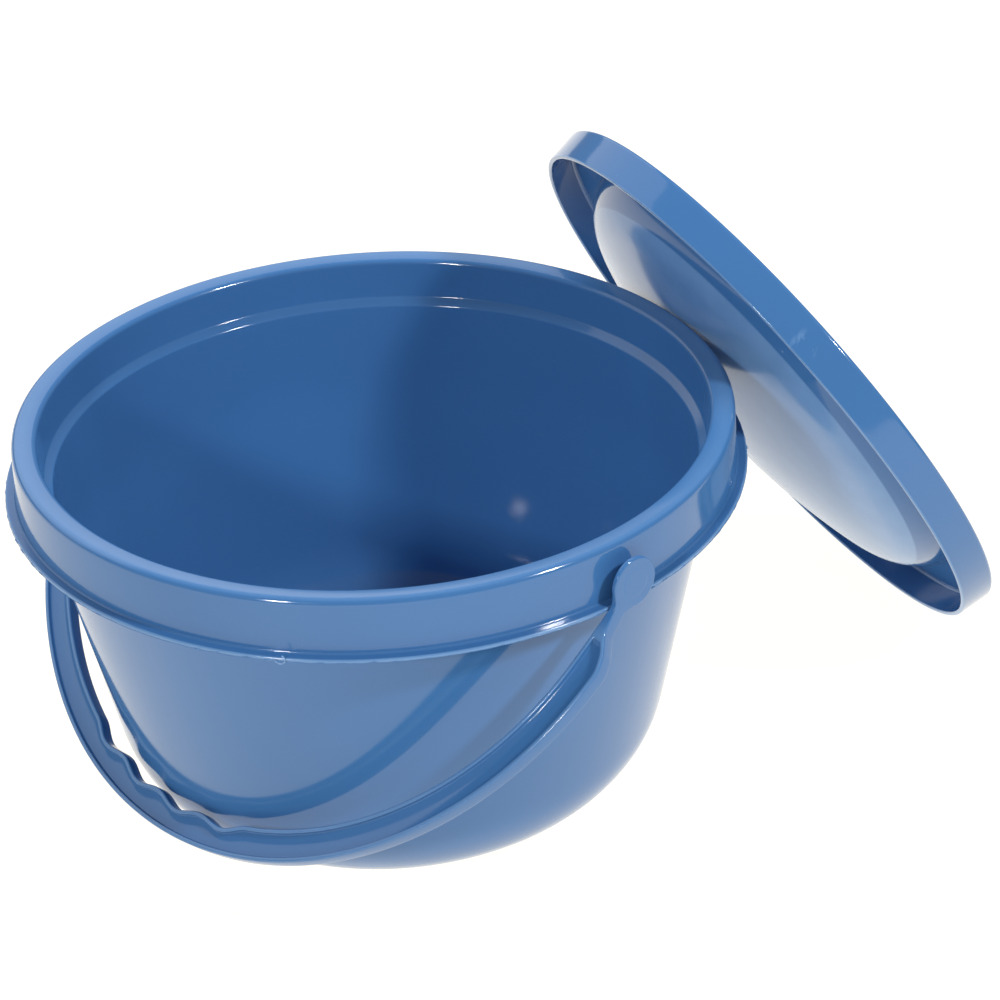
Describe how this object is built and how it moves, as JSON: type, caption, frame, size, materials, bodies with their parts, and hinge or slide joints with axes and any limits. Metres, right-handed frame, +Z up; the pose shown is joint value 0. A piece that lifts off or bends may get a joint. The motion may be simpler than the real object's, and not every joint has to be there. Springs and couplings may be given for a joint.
{
  "type": "commode pail",
  "caption": "Round plastic commode pail with a hollow rolled rim and flange, a swinging bail handle with a wavy finger grip, and a dished lid leaning beside it.",
  "frame": {"origin": "centre of the pail's flat base, on the surface it stands on", "axes": "+Z up, along the pail's axis; X along the handle's hinge line; the handle hangs to -Y and the lid leans on the +Y side"},
  "size_m": [0.324, 0.4205, 0.2387],
  "materials": {
    "pail_plastic": "glossy moulded polypropylene",
    "handle_plastic": "glossy moulded polypropylene",
    "lid_plastic": "glossy moulded polypropylene"
  },
  "bodies": {
    "pail": {"pail": "pail_plastic"},
    "bail_handle": {"bail_handle": "handle_plastic"},
    "lid": {"lid": "lid_plastic"}
  },
  "joints": [
    {"name": "bail_swing", "type": "hinge", "parent": "pail", "child": "bail_handle", "pos_m": [0, 0, 0.1516], "axis": [-1, 0, 0], "range_deg": [0, 188]},
    {"name": "lid_lift", "type": "slide", "parent": "pail", "child": "lid", "axis": [0.1996, 0.8445, 0.497], "range_m": [0, 0.15]}
  ]
}
